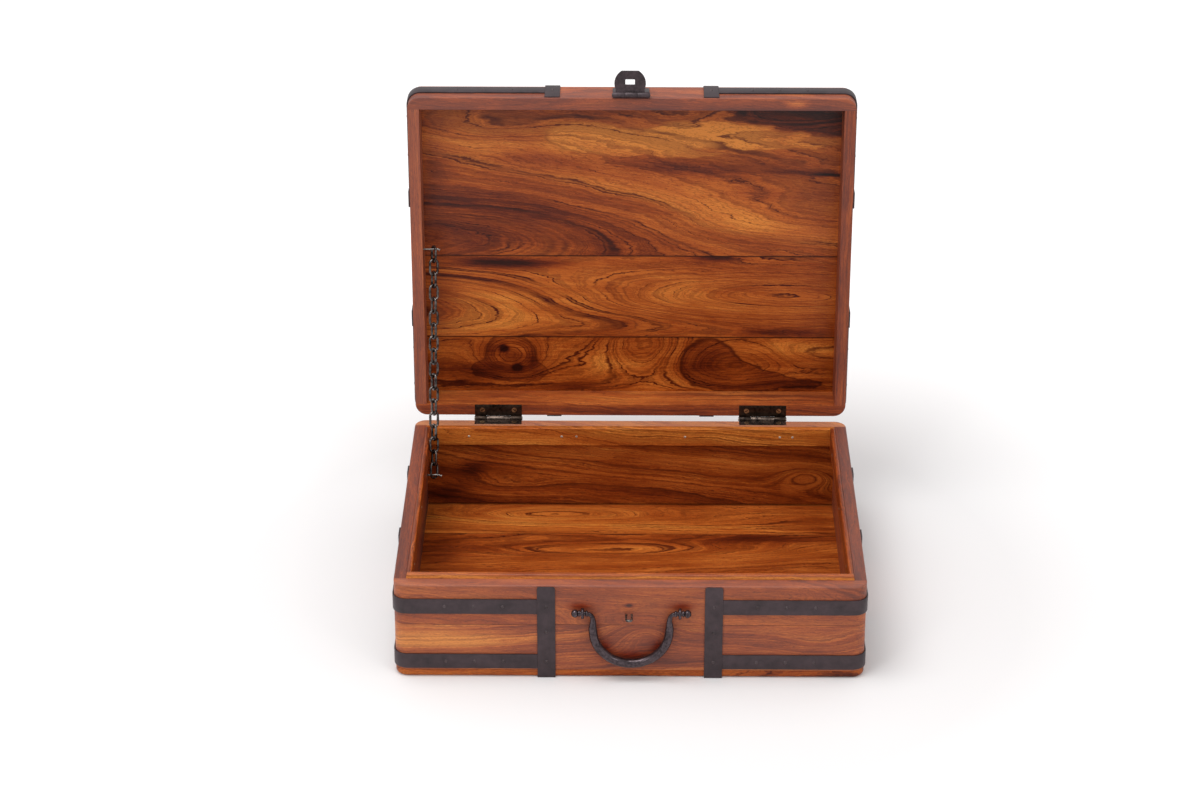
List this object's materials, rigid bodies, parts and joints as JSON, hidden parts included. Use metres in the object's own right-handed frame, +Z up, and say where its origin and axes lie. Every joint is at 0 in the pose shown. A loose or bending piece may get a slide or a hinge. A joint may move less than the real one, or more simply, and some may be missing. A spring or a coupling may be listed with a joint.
{
  "type": "damchiya chest",
  "caption": "Low wooden chest with a shallow hinged lid, iron straps and corner bands, front bail handle, hasp and staple, and a stay chain inside.",
  "frame": {"origin": "centre of the underside of the base, on the surface that the chest stands on", "axes": "+X to the right seen from the front, +Y to the back where the lid is hinged, +Z up; the front with the handle faces -Y; the lid is stored open at a right angle"},
  "size_m": [0.4614, 0.4201, 0.494],
  "materials": {
    "sheesham_wood": "oiled hardwood with strong golden and dark brown grain, satin",
    "black_iron": "flat iron strip, blackened and waxed",
    "cast_handle": "forged bail, worn smooth, dark brown",
    "aged_brass": "dark patinated brass",
    "dark_steel": "tarnished steel wire",
    "bright_steel": "bare steel nail"
  },
  "bodies": {
    "base": {"base_front_upper": "sheesham_wood", "base_front_lower": "sheesham_wood", "base_back": "sheesham_wood", "base_side_left": "sheesham_wood", "base_side_right": "sheesham_wood", "base_floor_front": "sheesham_wood", "base_floor_back": "sheesham_wood", "lip_front": "sheesham_wood", "lip_back": "sheesham_wood", "lip_left": "sheesham_wood", "lip_right": "sheesham_wood", "lip_nails": "bright_steel", "base_straps": "black_iron", "base_corner_bands": "black_iron", "base_strap_nails": "black_iron", "handle_eyes": "black_iron", "lock_staple": "black_iron", "hinge_base_leaves": "aged_brass", "hinge_base_screws": "aged_brass", "hinge_pins": "aged_brass", "chain_nail_base": "bright_steel"},
    "lid": {"lid_front": "sheesham_wood", "lid_back": "sheesham_wood", "lid_side_left": "sheesham_wood", "lid_side_right": "sheesham_wood", "lid_panel_front": "sheesham_wood", "lid_panel_middle": "sheesham_wood", "lid_panel_back": "sheesham_wood", "lid_cross_straps": "black_iron", "lid_side_straps": "black_iron", "lid_corner_bands": "black_iron", "lid_strap_nails": "black_iron", "hinge_lid_leaves": "aged_brass", "hinge_lid_screws": "aged_brass", "hasp_leaf": "black_iron", "hasp_nails": "black_iron", "hasp_pin": "black_iron", "chain_nail_lid": "bright_steel"},
    "hasp": {"hasp_plate": "black_iron"},
    "handle": {"handle_bail": "cast_handle"},
    "link_pair_1": {"chain_link_01": "dark_steel", "chain_link_02": "dark_steel"},
    "link_pair_2": {"chain_link_03": "dark_steel", "chain_link_04": "dark_steel"},
    "link_pair_3": {"chain_link_05": "dark_steel", "chain_link_06": "dark_steel"},
    "link_pair_4": {"chain_link_07": "dark_steel", "chain_link_08": "dark_steel"},
    "link_pair_5": {"chain_link_09": "dark_steel", "chain_link_10": "dark_steel"},
    "link_pair_6": {"chain_link_11": "dark_steel", "chain_link_12": "dark_steel"},
    "link_pair_7": {"chain_link_13": "dark_steel", "chain_link_14": "dark_steel"},
    "link_pair_8": {"chain_link_15": "dark_steel", "chain_link_16": "dark_steel"},
    "link_pair_9": {"chain_link_17": "dark_steel", "chain_link_18": "dark_steel"}
  },
  "joints": [
    {"name": "lid_hinge", "type": "hinge", "parent": "base", "child": "lid", "pos_m": [0, 0.1829, 0.1021], "axis": [1, 0, 0], "range_deg": [0, 90]},
    {"name": "hasp_hinge", "type": "hinge", "parent": "lid", "child": "hasp", "pos_m": [-0.0008, 0.1834, 0.468], "axis": [1, 0, 0], "range_deg": [-86, 90]},
    {"name": "handle_swing", "type": "hinge", "parent": "base", "child": "handle", "pos_m": [0.0012, -0.1855, 0.0744], "axis": [-1, 0, 0], "range_deg": [0, 150]},
    {"name": "link_pair_1_turn", "type": "hinge", "parent": "lid", "child": "link_pair_1", "pos_m": [-0.2057, 0.195, 0.2922], "axis": [1, 0, 0], "range_deg": [-99, 0]},
    {"name": "link_pair_2_turn", "type": "hinge", "parent": "link_pair_1", "child": "link_pair_2", "pos_m": [-0.2057, 0.18617, 0.26859], "axis": [1, 0, 0], "range_deg": [0, 29.5]},
    {"name": "link_pair_3_turn", "type": "hinge", "parent": "link_pair_2", "child": "link_pair_3", "pos_m": [-0.2057, 0.17684, 0.24362], "axis": [1, 0, 0], "range_deg": [0, 28]},
    {"name": "link_pair_4_turn", "type": "hinge", "parent": "link_pair_3", "child": "link_pair_4", "pos_m": [-0.2057, 0.1675, 0.21865], "axis": [1, 0, 0], "range_deg": [0, 23.5]},
    {"name": "link_pair_5_turn", "type": "hinge", "parent": "link_pair_4", "child": "link_pair_5", "pos_m": [-0.2057, 0.15817, 0.19368], "axis": [1, 0, 0], "range_deg": [0, 20.5]},
    {"name": "link_pair_6_turn", "type": "hinge", "parent": "link_pair_5", "child": "link_pair_6", "pos_m": [-0.2057, 0.14883, 0.16872], "axis": [1, 0, 0], "range_deg": [0, 20.5]},
    {"name": "link_pair_7_turn", "type": "hinge", "parent": "link_pair_6", "child": "link_pair_7", "pos_m": [-0.2057, 0.1395, 0.14375], "axis": [1, 0, 0], "range_deg": [0, 23.5]},
    {"name": "link_pair_8_turn", "type": "hinge", "parent": "link_pair_7", "child": "link_pair_8", "pos_m": [-0.2057, 0.13016, 0.11878], "axis": [1, 0, 0], "range_deg": [0, 28]},
    {"name": "link_pair_9_turn", "type": "hinge", "parent": "link_pair_8", "child": "link_pair_9", "pos_m": [-0.2057, 0.12083, 0.09381], "axis": [1, 0, 0], "range_deg": [0, 29.5]}
  ],
  "couplings": [
    {"joint": "link_pair_1_turn", "follows": "lid_hinge", "ratio": -1.0922},
    {"joint": "link_pair_2_turn", "follows": "lid_hinge", "ratio": 0.32045},
    {"joint": "link_pair_3_turn", "follows": "lid_hinge", "ratio": 0.30034},
    {"joint": "link_pair_4_turn", "follows": "lid_hinge", "ratio": 0.25516},
    {"joint": "link_pair_5_turn", "follows": "lid_hinge", "ratio": 0.21892},
    {"joint": "link_pair_6_turn", "follows": "lid_hinge", "ratio": 0.21892},
    {"joint": "link_pair_7_turn", "follows": "lid_hinge", "ratio": 0.25516},
    {"joint": "link_pair_8_turn", "follows": "lid_hinge", "ratio": 0.30034},
    {"joint": "link_pair_9_turn", "follows": "lid_hinge", "ratio": 0.32045}
  ]
}
